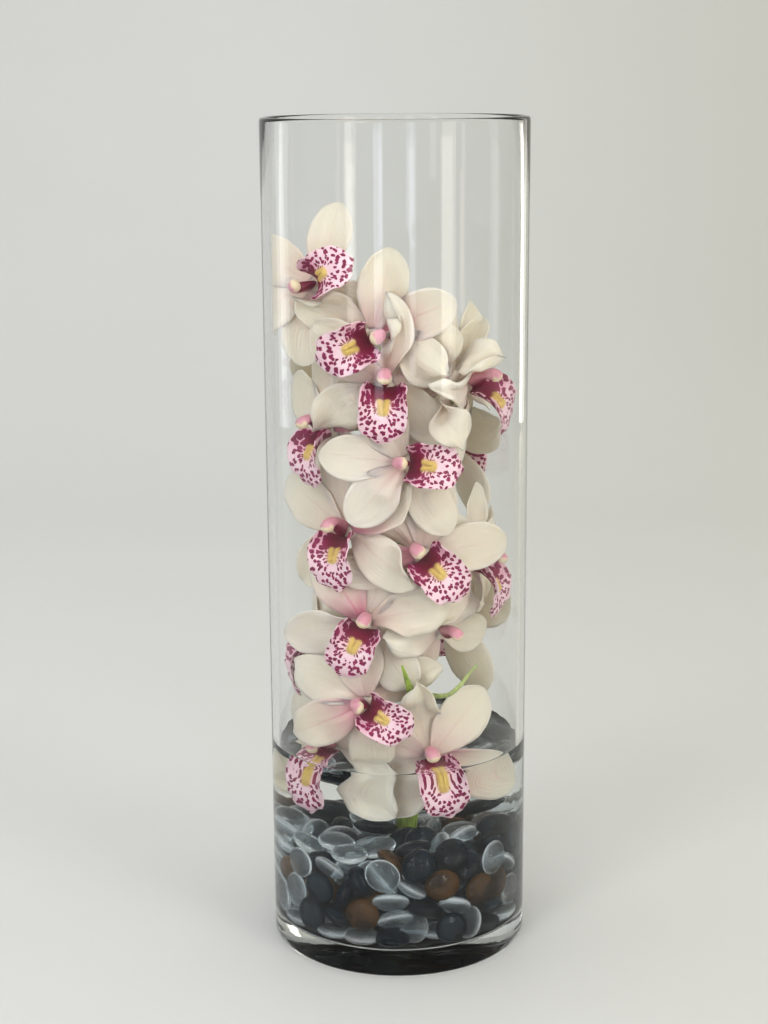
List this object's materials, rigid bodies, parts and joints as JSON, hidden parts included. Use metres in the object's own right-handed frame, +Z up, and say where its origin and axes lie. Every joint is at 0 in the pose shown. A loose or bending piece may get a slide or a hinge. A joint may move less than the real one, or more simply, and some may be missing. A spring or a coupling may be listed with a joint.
{
  "type": "cymbidium orchid stem in a glass cylinder vase",
  "caption": "Orchid stem with spotted-lipped white blooms standing upright inside a tall clear glass cylinder vase, in water over glass gems; a table decoration.",
  "frame": {"origin": "centre of the vase's foot, on the surface it stands on", "axes": "+Z up along the vase's axis; -Y is the side that the picture shows; +X is to the right in the picture"},
  "size_m": [0.127, 0.127, 0.406],
  "materials": {
    "tepals": "satin",
    "lip": "satin",
    "column": "satin",
    "stem": "satin",
    "gems": "polished",
    "water": "polished",
    "vase_glass": "polished"
  },
  "bodies": {
    "root": {"bloom_01_tepals": "tepals", "bloom_01_lip": "lip", "bloom_01_column": "column", "bloom_02_tepals": "tepals", "bloom_02_lip": "lip", "bloom_02_column": "column", "bloom_03_tepals": "tepals", "bloom_03_lip": "lip", "bloom_03_column": "column", "bloom_04_tepals": "tepals", "bloom_04_lip": "lip", "bloom_04_column": "column", "bloom_05_tepals": "tepals", "bloom_05_lip": "lip", "bloom_05_column": "column", "bloom_06_tepals": "tepals", "bloom_06_lip": "lip", "bloom_06_column": "column", "bloom_07_tepals": "tepals", "bloom_07_lip": "lip", "bloom_07_column": "column", "bloom_08_tepals": "tepals", "bloom_08_lip": "lip", "bloom_08_column": "column", "bloom_09_tepals": "tepals", "bloom_09_lip": "lip", "bloom_09_column": "column", "bloom_10_tepals": "tepals", "bloom_10_lip": "lip", "bloom_10_column": "column", "bloom_11_tepals": "tepals", "bloom_11_lip": "lip", "bloom_11_column": "column", "bloom_12_tepals": "tepals", "bloom_12_lip": "lip", "bloom_12_column": "column", "bloom_13_tepals": "tepals", "bloom_13_lip": "lip", "bloom_13_column": "column", "bloom_14_tepals": "tepals", "bloom_14_lip": "lip", "bloom_14_column": "column", "bloom_15_tepals": "tepals", "bloom_15_column": "column", "bloom_16_tepals": "tepals", "bloom_16_lip": "lip", "bloom_16_column": "column", "bloom_17_tepals": "tepals", "bloom_17_lip": "lip", "bloom_17_column": "column", "bloom_18_tepals": "tepals", "bloom_18_lip": "lip", "bloom_18_column": "column", "bloom_19_tepals": "tepals", "bloom_19_column": "column", "flower_stem": "stem", "glass_gems": "gems", "water": "water", "vase": "vase_glass"}
  },
  "joints": []
}
